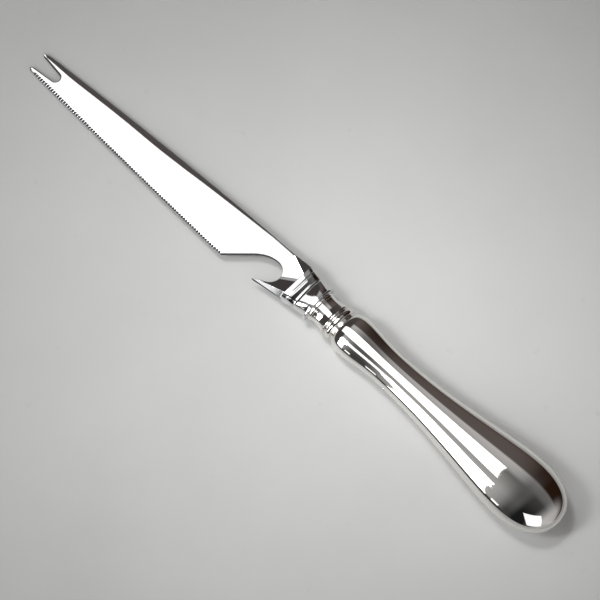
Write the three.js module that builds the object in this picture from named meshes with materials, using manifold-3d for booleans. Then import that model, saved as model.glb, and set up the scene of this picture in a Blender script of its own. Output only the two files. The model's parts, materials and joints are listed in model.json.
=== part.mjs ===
// A bar knife with a hollow silver handle. The blade has a forked tip, a serrated edge and a notch
// behind its heel that lifts bottle caps. It lies on a table on its fork and on the swell of its handle.
//
// The pieces are drawn about the handle's axis: x runs from the fork's tips to the butt, y towards the
// spine of the blade, and z up, square to the blade's flat sides. Sizes are in millimetres.
import * as THREE from "three";
import { mergeVertices } from "three/addons/utils/BufferGeometryUtils.js";
import Module from "manifold-3d";

const wasm = await Module();
wasm.setup();

// Clearance between pieces that are brazed, soldered or cemented together
const fitGap = 0.3;

// Blade
const edgeLength = 95.4; // fork tips to heel
const bladeThickness = 1.5;
const spineHeight = 7.2; // spine above the axis, at the bolster
const spineBow = 1.66; // how early the spine rises, where 1 is a straight taper
const spineLift = 0.7; // by which the spine is raised behind the tip
const spineLiftLength = 1.2; // stretch behind the tip that raises it
const tipDrop = 7.35; // edge below the axis, at the fork
const heelDrop = 10.15; // edge below the axis, at the heel
const edgeBow = 0.75; // how early the edge drops, where 1 is a straight taper
const edgeThickness = 0.3;
const edgeBevel = 1.2; // width of the ground edge
const toothPitch = 1.065;
const toothDepth = 0.45;
const spineBevel = 2.1; // width of the bevel ground along the spine
const spineBevelAngle = THREE.MathUtils.degToRad(18);
const spineBevelRise = 13; // from the tip until the bevel is at its full width
const spineBevelStart = 0.35; // share of its width at the tip
const spineBevelFade = 61; // stretch over which the bevel runs out towards the notch
const spineBevelBow = 0.6; // how late it narrows on that stretch, where 1 is a straight taper
const spineBevelLeast = 0.05; // share of its width that is left where it has run out

// Fork
const forkDepth = 10.85;
const slotRadius = 1.75;
const slotDrop = 3.45; // middle of the slot below the axis
const slotFlare = THREE.MathUtils.degToRad(7.3); // slope of each wall of the slot
const tineRadius = 0.65; // round end of the lower tine
const tineSetback = 0.3; // of the lower tine behind the upper one
const tineBlunt = 0.8; // flat end of the upper tine

// Bottle opener
const heelToNotch = 16.35; // heel to the centre of the notch
const notchDrop = 2.87; // centre of the notch below the axis
const notchRadius = 4.27;
const heelAngle = THREE.MathUtils.degToRad(44);
const heelStraight = 8; // straight stretch of the heel, along the axis
const hookAngle = THREE.MathUtils.degToRad(62.7); // where the notch runs out into the hook
const hookLength = 5.07;
const hookFlareStart = 2; // from the centre of the notch to where the hook thickens
const hookFlareAngle = THREE.MathUtils.degToRad(34);
const hookFlareSlope = 0.26;
const hookEdge = 0.5; // thickness left along the hook's outer line
const hookBevelAngle = THREE.MathUtils.degToRad(43); // of the flanks ground along that line

// Neck and tang
const notchToNeckEnd = 9.25; // centre of the notch to the end of the neck, at the bolster
const neckInset = 0.12; // of the neck inside the bolster's outline
const spineFlareLength = 8.1; // stretch of the spine that thickens towards the bolster
const spineFlareAngle = THREE.MathUtils.degToRad(21.2);
const spineFlareSlope = 0.6;
const tangLength = 62;
const tangRoot = 2.5; // of the tang, inside the neck
const tangWidth = 4.2;
const tangEndWidth = 2.4;
const tangThickness = 1.4;

// Bolster
const bolsterLength = 9.8;
const bolsterFrontHalfWidth = 7.4;
const bolsterRearHalfWidth = 6.1;
const bolsterFrontHalfHeight = 3.35;
const bolsterRearHalfHeight = 4.15;
const bolsterFrontPower = 0.34; // section: 1 is an oval, less is squarer
const bolsterRearPower = 0.8;
const bandLength = 1.6; // flat band across the front
const grooveLength = 0.3;
const grooveDepth = 0.25;
const ridgeLength = 0.7;
const ridgeHeight = 0.12;
const coveLength = 3.2;
const coveDepth = 0.65;

// Collar plate
const plateThickness = 0.6;
const plateOverhang = 1.1; // beyond the bolster, towards spine and edge
const plateLift = 0.15; // beyond the bolster, up and down

// Ferrule: a rolled lip, a hollow neck with a flared edge, a groove, a bead and a second groove
const lipLength = 1.2;
const lipRadius = 5.9;
const hollowLength = 5.7;
const hollowRadius = 5.3; // towards which the hollow is drawn in
const flareEdge = 0.4;
const flareRadius = 6.4;
const ringGroove = 0.65;
const ringGrooveRadius = 5.6;
const beadLength = 2.2;
const beadRadius = 6.4;
const ferruleBore = 4.3;
const spigotLength = 3;
const spigotRadius = 4.9;

// Handle shells
const shoulderLength = 5.3; // ferrule to shoulder
const waistLength = 16.5; // shoulder to waist
const swellLength = 58.3; // waist to swell
const buttLength = 17.9; // swell to butt
const shoulderRadius = 7.75;
const waistRadius = 6.45;
const swellRadius = 12.2;
const neckFlatness = 0.65; // height over width at the shoulder and the ferrule
const swellFlatness = 0.58; // height over width at the swell
const shellWall = 0.7;
const solderDepth = 0.45;
const solderWidth = 1.2;

// How long the body's curves keep the direction they start or end in, as shares of their lengths
const mouthEase = 0.11;
const mouthRise = 0.7;
const shoulderEase = 0.55;
const shoulderFall = 0.3;
const waistEase = 0.48;
const waistRise = 0.43;
const swellEase = 0.23;
const swellFall = 0.575;
const buttFullness = 0.68;

// Facets
const roundSides = 32;
const curveSteps = 7;
const spineSteps = 24;
const tipCrowding = 1.5; // how much closer the steps are near the tip, where 1 is even
const weld = 1e-4; // corners closer than this are one

// Stations along the axis
const notchX = edgeLength + heelToNotch;
const neckEnd = notchX + notchToNeckEnd;
const bolsterX = neckEnd + fitGap;
const bolsterEnd = bolsterX + bolsterLength;
const plateX = bolsterEnd + fitGap;
const ferruleX = plateX + plateThickness + fitGap;
const ferruleLength = lipLength + hollowLength + flareEdge + 2 * ringGroove + beadLength;
const ferruleEnd = ferruleX + ferruleLength;
const bodyX = ferruleEnd + fitGap;
const mouthEnd = bodyX + spigotLength;
const shoulderX = bodyX + shoulderLength;
const waistX = shoulderX + waistLength;
const swellX = waistX + swellLength;
const buttX = swellX + buttLength;
const beyond = 2 * buttX; // longer than anything it cuts

const { clamp, lerp, smoothstep } = THREE.MathUtils;
const flatPoint = (x, y) => new THREE.Vector2(x, y);

// A closed geometry as a solid that can be joined and cut.
function solidOf(geometry) {
  const bare = geometry.clone();
  bare.deleteAttribute("normal");
  bare.deleteAttribute("uv");
  const merged = mergeVertices(bare, weld);
  const vertProperties = merged.attributes.position.array;
  const triVerts = new Uint32Array(merged.index.array);
  return new wasm.Manifold(new wasm.Mesh({ numProp: 3, vertProperties, triVerts }));
}

// A solid as a geometry with flat facets.
function geometryOf(body) {
  const { vertProperties, triVerts } = body.getMesh();
  const shared = new THREE.BufferGeometry();
  shared.setAttribute("position", new THREE.BufferAttribute(vertProperties, 3));
  shared.setIndex(new THREE.BufferAttribute(triVerts, 1));
  const geometry = shared.toNonIndexed();
  geometry.computeVertexNormals();
  return geometry;
}

// A closed skin through convex rings of equally many points, which turn from y towards z.
function loft(rings) {
  const count = rings[0].length;
  const last = (rings.length - 1) * count;
  const index = [];
  for (let start = 0; start < last; start += count) {
    for (let j = 0; j < count; j++) {
      const here = start + j;
      const next = start + ((j + 1) % count);
      index.push(here, next, next + count);
      index.push(here, next + count, here + count);
    }
  }
  for (let j = 1; j + 1 < count; j++) {
    index.push(0, j + 1, j);
    index.push(last, last + j, last + j + 1);
  }
  const geometry = new THREE.BufferGeometry();
  geometry.setFromPoints(rings.flat());
  geometry.setIndex(index);
  return geometry;
}

// A flat outline in x and y, as a prism of that thickness about the blade's plane.
function prism(outline, thickness) {
  const geometry = new THREE.ExtrudeGeometry(outline, { depth: thickness, bevelEnabled: false });
  return geometry.translate(0, 0, -thickness / 2);
}

// The handle's height over its width.
function flatness(x) {
  return lerp(neckFlatness, swellFlatness, smoothstep(x, shoulderX, swellX));
}

// A profile of x and radius turned about the axis, then flattened to the handle's oval.
function turned(profile) {
  const points = profile.map((p) => flatPoint(p.y, p.x));
  const geometry = new THREE.LatheGeometry(points, roundSides);
  geometry.rotateZ(-Math.PI / 2);
  const position = geometry.attributes.position;
  for (let i = 0; i < position.count; i++) {
    position.setZ(i, position.getZ(i) * flatness(position.getX(i)));
  }
  return geometry;
}

// A profile moved square to itself, towards the axis.
function inset(profile, depth) {
  return profile.map((p, i) => {
    const before = profile[Math.max(i - 1, 0)];
    const after = profile[Math.min(i + 1, profile.length - 1)];
    const along = flatPoint(after.x - before.x, after.y - before.y).normalize();
    const onAxis = i === profile.length - 1;
    return onAxis ? flatPoint(p.x - depth, 0) : flatPoint(p.x + along.y * depth, p.y - along.x * depth);
  });
}

// Blade: its outline seen from above
function spineY(x) {
  const lift = spineLift * (1 - Math.exp(-x / spineLiftLength));
  return lift + (spineHeight - lift) * (1 - Math.max(0, 1 - x / neckEnd) ** spineBow);
}

function edgeY(x) {
  return -(tipDrop + (heelDrop - tipDrop) * Math.max(0, x / edgeLength) ** edgeBow);
}

function hookTip() {
  const runOut = flatPoint(Math.cos(hookAngle), -Math.sin(hookAngle));
  const tangent = flatPoint(runOut.y, -runOut.x);
  return flatPoint(notchX, -notchDrop)
    .addScaledVector(runOut, notchRadius)
    .addScaledVector(tangent, hookLength);
}

function neckCorner() {
  return flatPoint(neckEnd, neckInset - bolsterFrontHalfWidth);
}

function addSpine(outline) {
  outline.moveTo(0, -tineBlunt);
  for (let i = 0; i <= spineSteps; i++) {
    const x = neckEnd * (i / spineSteps) ** tipCrowding;
    outline.lineTo(x, spineY(x));
  }
  outline.lineTo(neckCorner().x, neckCorner().y);
}

function addOpener(outline) {
  const tip = hookTip();
  const top = notchRadius - notchDrop;
  const slope = Math.tan(heelAngle);
  const corner = edgeLength + (top + heelDrop) / slope;
  outline.lineTo(tip.x, tip.y);
  outline.absarc(notchX, -notchDrop, notchRadius, -hookAngle, Math.PI / 2, false);
  outline.quadraticCurveTo(corner, top, edgeLength + heelStraight, heelStraight * slope - heelDrop);
  outline.lineTo(edgeLength, -heelDrop);
}

function addTeeth(outline) {
  const tineEnd = 2 * (tineRadius + tineSetback);
  const count = Math.floor((edgeLength - tineEnd) / toothPitch);
  for (let i = 0; i < count; i++) {
    const root = edgeLength - (i + 1 / 2) * toothPitch;
    const tip = edgeLength - (i + 1) * toothPitch;
    outline.lineTo(root, edgeY(root) + toothDepth);
    outline.lineTo(tip, edgeY(tip));
  }
}

function addFork(outline) {
  const tineX = tineRadius + tineSetback;
  const tineY = edgeY(tineX) + tineRadius;
  const slotX = forkDepth - slotRadius;
  const wall = Math.PI / 2 - slotFlare;
  outline.absarc(tineX, tineY, tineRadius, -Math.PI / 2, Math.PI - wall, true);
  outline.absarc(slotX, -slotDrop, slotRadius, -wall, wall, false);
  outline.closePath();
}

function bladeOutline() {
  const outline = new THREE.Shape();
  addSpine(outline);
  addOpener(outline);
  addTeeth(outline);
  addFork(outline);
  return outline;
}

// Blade: its thickness, with a bevel along the spine and a ground edge
function bevelWidth(x) {
  const rise = lerp(spineBevelStart, 1, x / spineBevelRise);
  const fade = Math.max(0, (notchX - x) / spineBevelFade) ** spineBevelBow;
  return spineBevel * clamp(Math.min(rise, fade), spineBevelLeast, 1);
}

function bladeSection(x) {
  const half = bladeThickness / 2;
  const spare = edgeBevel / 4; // stands past the outline, which trims it off
  const bevel = bevelWidth(x) + spare;
  const spine = spineY(x) + spare;
  const behindHeel = x > edgeLength + edgeBevel;
  const edge = behindHeel ? -heelDrop - edgeBevel - notchRadius : edgeY(x) - spare;
  const upper = [
    [spine, half - bevel * Math.tan(spineBevelAngle)],
    [spine - bevel, half],
    [edge + edgeBevel, half],
    [edge, edgeThickness / 2],
  ];
  const lower = upper.map(([y, z]) => [y, -z]).reverse();
  return [...upper, ...lower].map(([y, z]) => new THREE.Vector3(x, y, z));
}

function bladeStations() {
  const stations = [-tineBlunt, edgeLength + edgeBevel, edgeLength + 2 * edgeBevel];
  for (let i = 1; i <= spineSteps; i++) {
    stations.push((neckEnd + fitGap) * (i / spineSteps) ** tipCrowding);
  }
  return stations.sort((a, b) => a - b);
}

// A wedge of that half thickness on a line through x, y, growing on both sides towards an angle.
function wedge(x, y, towards, slope, half, reach) {
  const back = half / slope / 2;
  const thin = half - back * slope;
  const thick = half + reach * slope;
  const side = new THREE.Shape();
  side.moveTo(-back, -thin);
  side.lineTo(reach, -thick);
  side.lineTo(reach, thick);
  side.lineTo(-back, thin);
  const geometry = new THREE.ExtrudeGeometry(side, { depth: beyond, bevelEnabled: false });
  geometry.translate(0, 0, -beyond / 2);
  geometry.rotateX(Math.PI / 2);
  geometry.rotateZ(towards);
  return geometry.translate(x, y, 0);
}

// The hook and the shoulder at the spine thicken towards the bolster.
function hookFlare() {
  const towards = hookFlareAngle - Math.PI / 2;
  const x = notchX + hookFlareStart * Math.cos(towards);
  const y = hookFlareStart * Math.sin(towards) - notchDrop;
  return wedge(x, y, towards, hookFlareSlope, bladeThickness / 2, 2 * notchToNeckEnd);
}

function spineFlare() {
  const towards = Math.PI / 2 - spineFlareAngle;
  const x = neckEnd - spineFlareLength;
  return wedge(x, spineHeight, towards, spineFlareSlope, bladeThickness / 2, 2 * notchToNeckEnd);
}

// A roof over the whole blade that climbs from the hook's outer line, and cuts the hook's flanks.
function hookFlanks() {
  const tip = hookTip();
  const inwards = neckCorner().sub(tip).angle() + Math.PI / 2;
  return wedge(tip.x, tip.y, inwards, Math.tan(hookBevelAngle), hookEdge / 2, neckEnd);
}

// The tang, from inside the neck to its end in the cement, grown by a gap on every side.
function tang(gap) {
  const half = tangThickness / 2 + gap;
  const ring = (x, width) => {
    const y = width / 2 + gap;
    const corners = [[y, -half], [y, half], [-y, half], [-y, -half]];
    return corners.map(([across, up]) => new THREE.Vector3(x, across, up));
  };
  return loft([ring(neckEnd - tangRoot, tangWidth), ring(neckEnd + tangLength + gap, tangEndWidth)]);
}

function blade() {
  const thickness = solidOf(loft(bladeStations().map(bladeSection)))
    .add(solidOf(hookFlare()))
    .add(solidOf(spineFlare()))
    .intersect(solidOf(hookFlanks()));
  const outline = solidOf(prism(bladeOutline(), 4 * bolsterFrontHalfHeight));
  return thickness.intersect(outline).add(solidOf(tang(0)));
}

// Bolster: rounded oblong sections, with a band, a groove, a ridge and a cove across its faces
function bolsterHeights() {
  const grooveX = bolsterX + bandLength;
  const ridgeX = grooveX + grooveLength;
  const coveX = ridgeX + ridgeLength;
  const riseX = coveX + coveLength;
  const band = bolsterFrontHalfHeight;
  const shoulder = (band + bolsterRearHalfHeight) / 2 + ridgeHeight;
  return [
    flatPoint(bolsterX, band),
    flatPoint(grooveX, band),
    flatPoint(grooveX + grooveLength / 2, band - grooveDepth),
    flatPoint(ridgeX, band),
    flatPoint(ridgeX + ridgeLength / 2, band + ridgeHeight),
    flatPoint(coveX, band),
    flatPoint(coveX + coveLength / 4, band - coveDepth),
    flatPoint(coveX + coveLength / 2, band - coveDepth),
    flatPoint(riseX, band),
    flatPoint((riseX + bolsterEnd) / 2, shoulder),
    flatPoint(bolsterEnd, bolsterRearHalfHeight),
  ];
}

function bolsterSection({ x, y: height }) {
  const share = (x - bolsterX) / bolsterLength;
  const width = lerp(bolsterFrontHalfWidth, bolsterRearHalfWidth, share);
  const power = lerp(bolsterFrontPower, bolsterRearPower, share);
  const rounded = (value) => Math.sign(value) * Math.abs(value) ** power;
  const ring = [];
  for (let j = 0; j < roundSides; j++) {
    const turn = (2 * Math.PI * j) / roundSides;
    ring.push(new THREE.Vector3(x, width * rounded(Math.cos(turn)), height * rounded(Math.sin(turn))));
  }
  return ring;
}

function bolster() {
  const body = solidOf(loft(bolsterHeights().map(bolsterSection)));
  return body.subtract(solidOf(tang(fitGap)));
}

// Collar plate between the bolster and the ferrule
function collarPlate() {
  const outline = new THREE.Shape();
  const width = bolsterRearHalfWidth + plateOverhang;
  const height = bolsterRearHalfHeight + plateLift;
  outline.absellipse(0, 0, width, height, 0, 2 * Math.PI, false);
  const options = { depth: plateThickness, curveSegments: roundSides, bevelEnabled: false };
  const geometry = new THREE.ExtrudeGeometry(outline, options);
  geometry.rotateX(Math.PI / 2);
  geometry.rotateZ(Math.PI / 2);
  geometry.translate(plateX, 0, 0);
  return solidOf(geometry).subtract(solidOf(tang(fitGap)));
}

// Ferrule: turned about the axis, with a spigot that the shells close round
function ferrule() {
  const hollowX = ferruleX + lipLength;
  const flareX = hollowX + hollowLength;
  const grooveX = flareX + flareEdge;
  const beadX = grooveX + ringGroove;
  const lipRound = lipLength / 2;
  const beadRound = beadLength / 2;
  const path = new THREE.Path();
  path.moveTo(ferruleX, ferruleBore);
  path.lineTo(ferruleX, lipRadius - lipRound / 2);
  path.ellipse(lipRound, 0, lipRound, lipRound / 2, Math.PI, 0, true);
  const drawnIn = hollowX + hollowLength / 4;
  const drawnOut = flareX - hollowLength / 3;
  path.bezierCurveTo(drawnIn, hollowRadius, drawnOut, hollowRadius, flareX, flareRadius);
  path.lineTo(grooveX, flareRadius);
  path.lineTo(grooveX + ringGroove / 2, ringGrooveRadius);
  path.lineTo(beadX, ringGrooveRadius);
  path.ellipse(beadRound, 0, beadRound, beadRadius - ringGrooveRadius, Math.PI, 0, true);
  path.lineTo(ferruleEnd, ringGrooveRadius);
  path.lineTo(ferruleEnd, spigotRadius);
  path.lineTo(mouthEnd, spigotRadius);
  path.lineTo(mouthEnd, ferruleBore);
  path.lineTo(ferruleX, ferruleBore);
  return solidOf(turned(path.getPoints(curveSteps)));
}

// Handle body: shoulder, waist, swell and round butt, as a profile of x and radius
function bodyProfile() {
  const rise = ringGrooveRadius + mouthRise * (shoulderRadius - ringGrooveRadius);
  const shoulderStart = shoulderX - shoulderEase * shoulderLength;
  const waistStart = waistX - waistEase * waistLength;
  const swellStart = swellX - swellEase * swellLength;
  const path = new THREE.Path();
  const curve = (a, b, end) => path.bezierCurveTo(a.x, a.y, b.x, b.y, end.x, end.y);
  path.moveTo(bodyX, ringGrooveRadius);
  curve(
    flatPoint(bodyX + mouthEase * shoulderLength, rise),
    flatPoint(shoulderStart, shoulderRadius),
    flatPoint(shoulderX, shoulderRadius),
  );
  curve(
    flatPoint(shoulderX + shoulderFall * waistLength, shoulderRadius),
    flatPoint(waistStart, waistRadius),
    flatPoint(waistX, waistRadius),
  );
  curve(
    flatPoint(waistX + waistRise * swellLength, waistRadius),
    flatPoint(swellStart, swellRadius),
    flatPoint(swellX, swellRadius),
  );
  curve(
    flatPoint(swellX + swellFall * buttLength, swellRadius),
    flatPoint(buttX, buttFullness * swellRadius),
    flatPoint(buttX, 0),
  );
  return path.getPoints(curveSteps);
}

// The part of the body's profile behind a station, moved in by a depth.
function lining(depth, fromX) {
  return inset(bodyProfile(), depth).filter((p) => p.x > fromX);
}

// Both shells in one, with a mouth turned in to meet the ferrule's spigot.
function shells() {
  const outer = bodyProfile();
  const inner = lining(shellWall, mouthEnd);
  const mouth = spigotRadius + fitGap;
  const step = flatPoint(mouthEnd, inner[0].y);
  const lip = [step, flatPoint(mouthEnd, mouth), flatPoint(bodyX, mouth)];
  return solidOf(turned([...outer, ...inner.reverse(), ...lip, outer[0]]));
}

// One shell: what lies above the seam, or below it.
function shell(side) {
  const half = new THREE.BoxGeometry(beyond, beyond, beyond);
  half.translate(0, 0, side * (beyond / 2 + fitGap / 2));
  return shells().intersect(solidOf(half));
}

// A skin inside the shells between two depths, kept to a strip along the seam and round the butt.
function seamStrip(depth, deeper, width) {
  const outer = lining(depth, shoulderX);
  const inner = lining(deeper, shoulderX).reverse();
  const strip = new THREE.BoxGeometry(beyond, beyond, width);
  return solidOf(turned([...outer, ...inner, outer[0]])).intersect(solidOf(strip));
}

function solderSeam() {
  const depth = shellWall + fitGap;
  return seamStrip(depth, depth + solderDepth, solderWidth);
}

// Cement: a stem in the ferrule and a core in the shells, with room for the tang and the solder
function cement() {
  const coreX = mouthEnd + fitGap;
  const stem = ferruleBore - fitGap;
  const core = lining(shellWall + fitGap, coreX);
  const neck = [flatPoint(ferruleX, 0), flatPoint(ferruleX, stem), flatPoint(coreX, stem)];
  const face = flatPoint(coreX, core[0].y);
  const channel = shellWall + fitGap + solderDepth + fitGap;
  return solidOf(turned([...neck, face, ...core]))
    .subtract(solidOf(tang(fitGap)))
    .subtract(seamStrip(shellWall, channel, solderWidth + 2 * fitGap));
}

// Finishes
const steel = new THREE.MeshStandardMaterial({ color: 0xd9dadb, roughness: 0.1, metalness: 1 });
const silver = new THREE.MeshStandardMaterial({ color: 0xe9e6e1, roughness: 0.06, metalness: 1 });
const solder = new THREE.MeshStandardMaterial({ color: 0xb4b3ad, roughness: 0.45, metalness: 1 });
const pitch = new THREE.MeshStandardMaterial({ color: 0x6a4b39, roughness: 0.9, metalness: 0 });

const knife = new THREE.Group();

function place(name, body, material) {
  const mesh = new THREE.Mesh(geometryOf(body), material);
  mesh.name = name;
  knife.add(mesh);
  return mesh;
}

const front = [
  place("blade", blade(), steel),
  place("bolster", bolster(), steel),
  place("collar_plate", collarPlate(), steel),
];
const rear = [
  place("neck_ferrule", ferrule(), silver),
  place("handle_shell_upper", shell(1), silver),
  place("handle_shell_lower", shell(-1), silver),
];
place("seam_solder", solderSeam(), solder);
place("cement_filling", cement(), pitch);

// How low a group of meshes reaches once the knife is turned by an angle about y.
function lowest(meshes, angle) {
  let low = Infinity;
  for (const { geometry } of meshes) {
    const position = geometry.attributes.position;
    for (let i = 0; i < position.count; i++) {
      low = Math.min(low, position.getX(i) * Math.sin(angle) + position.getZ(i) * Math.cos(angle));
    }
  }
  return low;
}

// The angle at which the blade's end and the handle's swell both touch the table.
function restAngle() {
  const halvings = 40;
  let level = 0;
  let steep = Math.PI / 8;
  for (let i = 0; i < halvings; i++) {
    const angle = (level + steep) / 2;
    const bladeIsHigher = lowest(front, angle) > lowest(rear, angle);
    if (bladeIsHigher) level = angle;
    else steep = angle;
  }
  return level;
}

// The table is at z 0, and the middle of the knife's length and width is at x 0, y 0.
knife.rotation.y = -restAngle();
const root = new THREE.Group();
root.add(knife);
const bounds = new THREE.Box3().setFromObject(root, true);
const middle = bounds.getCenter(new THREE.Vector3());
knife.position.set(-middle.x, -middle.y, -bounds.min.z);

export default root;
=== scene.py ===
import json
import math

import bmesh
import bpy
import numpy as np
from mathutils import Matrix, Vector


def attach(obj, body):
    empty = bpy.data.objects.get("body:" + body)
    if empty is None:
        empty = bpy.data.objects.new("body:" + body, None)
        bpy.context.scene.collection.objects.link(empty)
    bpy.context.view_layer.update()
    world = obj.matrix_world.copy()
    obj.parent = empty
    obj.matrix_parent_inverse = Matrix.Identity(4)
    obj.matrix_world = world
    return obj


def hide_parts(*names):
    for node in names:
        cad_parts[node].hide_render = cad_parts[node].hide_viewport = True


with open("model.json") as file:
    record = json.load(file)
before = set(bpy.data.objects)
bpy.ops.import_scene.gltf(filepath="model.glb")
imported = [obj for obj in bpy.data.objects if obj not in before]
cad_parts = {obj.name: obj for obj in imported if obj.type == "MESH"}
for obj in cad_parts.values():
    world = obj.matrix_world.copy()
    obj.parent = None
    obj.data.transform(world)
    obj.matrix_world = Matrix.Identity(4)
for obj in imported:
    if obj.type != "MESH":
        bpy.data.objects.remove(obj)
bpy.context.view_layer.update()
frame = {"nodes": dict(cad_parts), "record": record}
print("frame:", len(frame["nodes"]), "nodes")

# The knife is drawn in millimetres about its handle's axis: x from the fork to the butt, y to the spine,
# z up. The mount on the blade's upper side tells how that drawing lies in the shared frame.
stance = {"mount": "blade_upper_flat", "drawnAt": (60.0, -2.0, 0.75), "metresPerUnit": 0.001}


def toFrame(points):
    # each point is turned about y by the knife's lean, scaled to metres and carried to the mount
    mount = next(m for m in frame["record"]["mounts"] if m["name"] == stance["mount"])
    side = mount["axis"][0]
    up = mount["axis"][2]
    turn = np.array([[up, 0.0, side], [0.0, 1.0, 0.0], [-side, 0.0, up]])
    away = (points - np.array(stance["drawnAt"])) * stance["metresPerUnit"]
    return away @ turn.T + np.array(mount["pos_m"])


def smoothStep(value, low, high):
    # rises from 0 at low to 1 at high as 3t2 - 2t3
    t = np.clip((value - low) / (high - low), 0.0, 1.0)
    return t * t * (3.0 - 2.0 * t)


def softRamp(distance, softness):
    # 0 before -softness, the distance itself after +softness, and a parabola between
    between = (distance + softness) ** 2 / (4.0 * softness)
    return np.where(distance < -softness, 0.0, np.where(distance > softness, distance, between))


def bezier(start, first, second, end, count):
    # cubic curve: the four points weighted by (1-t)3, 3t(1-t)2, 3t2(1-t) and t3
    t = np.linspace(0.0, 1.0, count)[:, None]
    s = 1.0 - t
    points = [np.array(p) for p in (start, first, second, end)]
    return s ** 3 * points[0] + 3 * t * s * s * points[1] + 3 * t * t * s * points[2] + t ** 3 * points[3]


def arcPoints(centre, radius, first, last, count):
    # points on a circle, from one angle to another in degrees
    angle = np.radians(np.linspace(first, last, count))
    return np.array(centre) + radius * np.stack([np.cos(angle), np.sin(angle)], -1)


def spread(points, count):
    # the same path with its points spaced evenly along its length
    step = np.hypot(*np.diff(points, axis=0).T)
    length = np.concatenate([[0.0], np.cumsum(step)])
    at = np.linspace(0.0, length[-1], count)
    return np.stack([np.interp(at, length, points[:, 0]), np.interp(at, length, points[:, 1])], -1)


def gridQuads(rows, columns, start, closeRows, closeColumns):
    # four corner indices for each cell of a grid of points
    row, column = np.meshgrid(
        np.arange(rows if closeRows else rows - 1),
        np.arange(columns if closeColumns else columns - 1),
        indexing="ij",
    )
    below = (row + 1) % rows
    beside = (column + 1) % columns
    corners = [
        row * columns + column,
        below * columns + column,
        below * columns + beside,
        row * columns + beside,
    ]
    return start + np.stack(corners, -1).reshape(-1, 4)


meshRules = {
    # wear also paints a highlight on rubbed edges, and ground also paints shade on ground faces
    "marks": ["wear", "grime", "ground"],
    "weld": 4e-7,  # points closer than this, in metres, become one
    "sliver": 2e-7,  # and edges shorter than this are dissolved
    "creaseAngle": 32.0,
    "flatFrom": 40,  # a face with this many corners is a cap, and shaded flat
}


def makePiece(name, sheets, caps=()):
    # sheets are grids of points with their marks; caps are flat outlines that close them
    marks = meshRules["marks"]
    points = []
    values = {mark: [] for mark in marks}
    corners = []
    sizes = []
    start = 0
    for sheet in sheets:
        rows, columns = sheet["points"].shape[:2]
        closed = [sheet.get(way, False) for way in ("closeRows", "closeColumns")]
        quads = gridQuads(rows, columns, start, *closed)
        points.append(sheet["points"].reshape(-1, 3))
        for mark in marks:
            values[mark].append(np.broadcast_to(sheet.get(mark, 0.0), (rows, columns)).reshape(-1))
        corners.append(quads.reshape(-1))
        sizes.append(np.full(len(quads), 4))
        start += rows * columns
    for cap in caps:
        points.append(cap)
        for mark in marks:
            values[mark].append(np.zeros(len(cap)))
        corners.append(start + np.arange(len(cap)))
        sizes.append(np.array([len(cap)]))
        start += len(cap)
    sizes = np.concatenate(sizes)
    corners = np.concatenate(corners)
    mesh = bpy.data.meshes.new(name)
    mesh.vertices.add(start)
    mesh.vertices.foreach_set("co", toFrame(np.concatenate(points)).astype(np.float32).reshape(-1))
    mesh.loops.add(len(corners))
    mesh.loops.foreach_set("vertex_index", corners.astype(np.int32))
    mesh.polygons.add(len(sizes))
    mesh.polygons.foreach_set("loop_start", (np.cumsum(sizes) - sizes).astype(np.int32))
    mesh.polygons.foreach_set("loop_total", sizes.astype(np.int32))
    for mark in marks:
        layer = mesh.attributes.new(mark, "FLOAT", "POINT")
        layer.data.foreach_set("value", np.concatenate(values[mark]).astype(np.float32))
    mesh.update(calc_edges=True)
    mesh.validate()
    weld = bmesh.new()
    weld.from_mesh(mesh)
    bmesh.ops.remove_doubles(weld, verts=weld.verts, dist=meshRules["weld"])
    bmesh.ops.dissolve_degenerate(weld, edges=weld.edges, dist=meshRules["sliver"])
    weld.to_mesh(mesh)
    weld.free()
    mesh.set_sharp_from_angle(angle=math.radians(meshRules["creaseAngle"]))
    counts = np.empty(len(mesh.polygons), np.int32)
    mesh.polygons.foreach_get("loop_total", counts)
    mesh.polygons.foreach_set("use_smooth", counts < meshRules["flatFrom"])
    piece = bpy.data.objects.new(name, mesh)
    bpy.context.scene.collection.objects.link(piece)
    print("made", name, len(mesh.polygons), "faces")
    return piece


bladeSize = {
    "edgeLength": 95.4,
    "thickness": 1.5,
    "spineHeight": 7.2,
    "spineBow": 1.66,
    "spineLift": 0.7,  # by which the spine is raised behind the tip
    "liftLength": 1.2,
    "tipDrop": 7.35,
    "heelDrop": 10.15,
    "edgeBow": 0.75,
    "neckEnd": 121.0,
    "neckTuck": 0.7,  # how far the neck runs into the bolster
    "neckHalfWidth": 7.28,
    "bevelWidth": 2.02,
    "bevelAngle": 14.5,
    "bevelStart": 0.5,  # share of its width behind the tip
    "bevelNose": 0.1,  # width at the tip itself
    "bevelOpen": 0.75,  # and how fast it widens from there
    "bevelRise": 18.0,  # length over which the bevel widens from the fork
    "bevelFade": 46.0,  # length over which it narrows before the notch
    "fadeBow": 0.75,  # how late it narrows there, where 1 is a straight taper
    "bevelLeast": 0.25,  # share of its width that is left above the notch
    "bevelSwell": 0.36,  # extra width half way along
    "swellAt": 53.0,
    "swellSpread": 12.0,
    "leadFrom": 1.2,  # past the notch's top, where the bevel begins to run out
    "leadTo": 3.6,
    "leadGroundAndShade": 3.0,  # how fully its end is marked as ground and darkened as painted shade
    "brokenEdge": 0.1,  # radius of the plain edges
}
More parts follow.
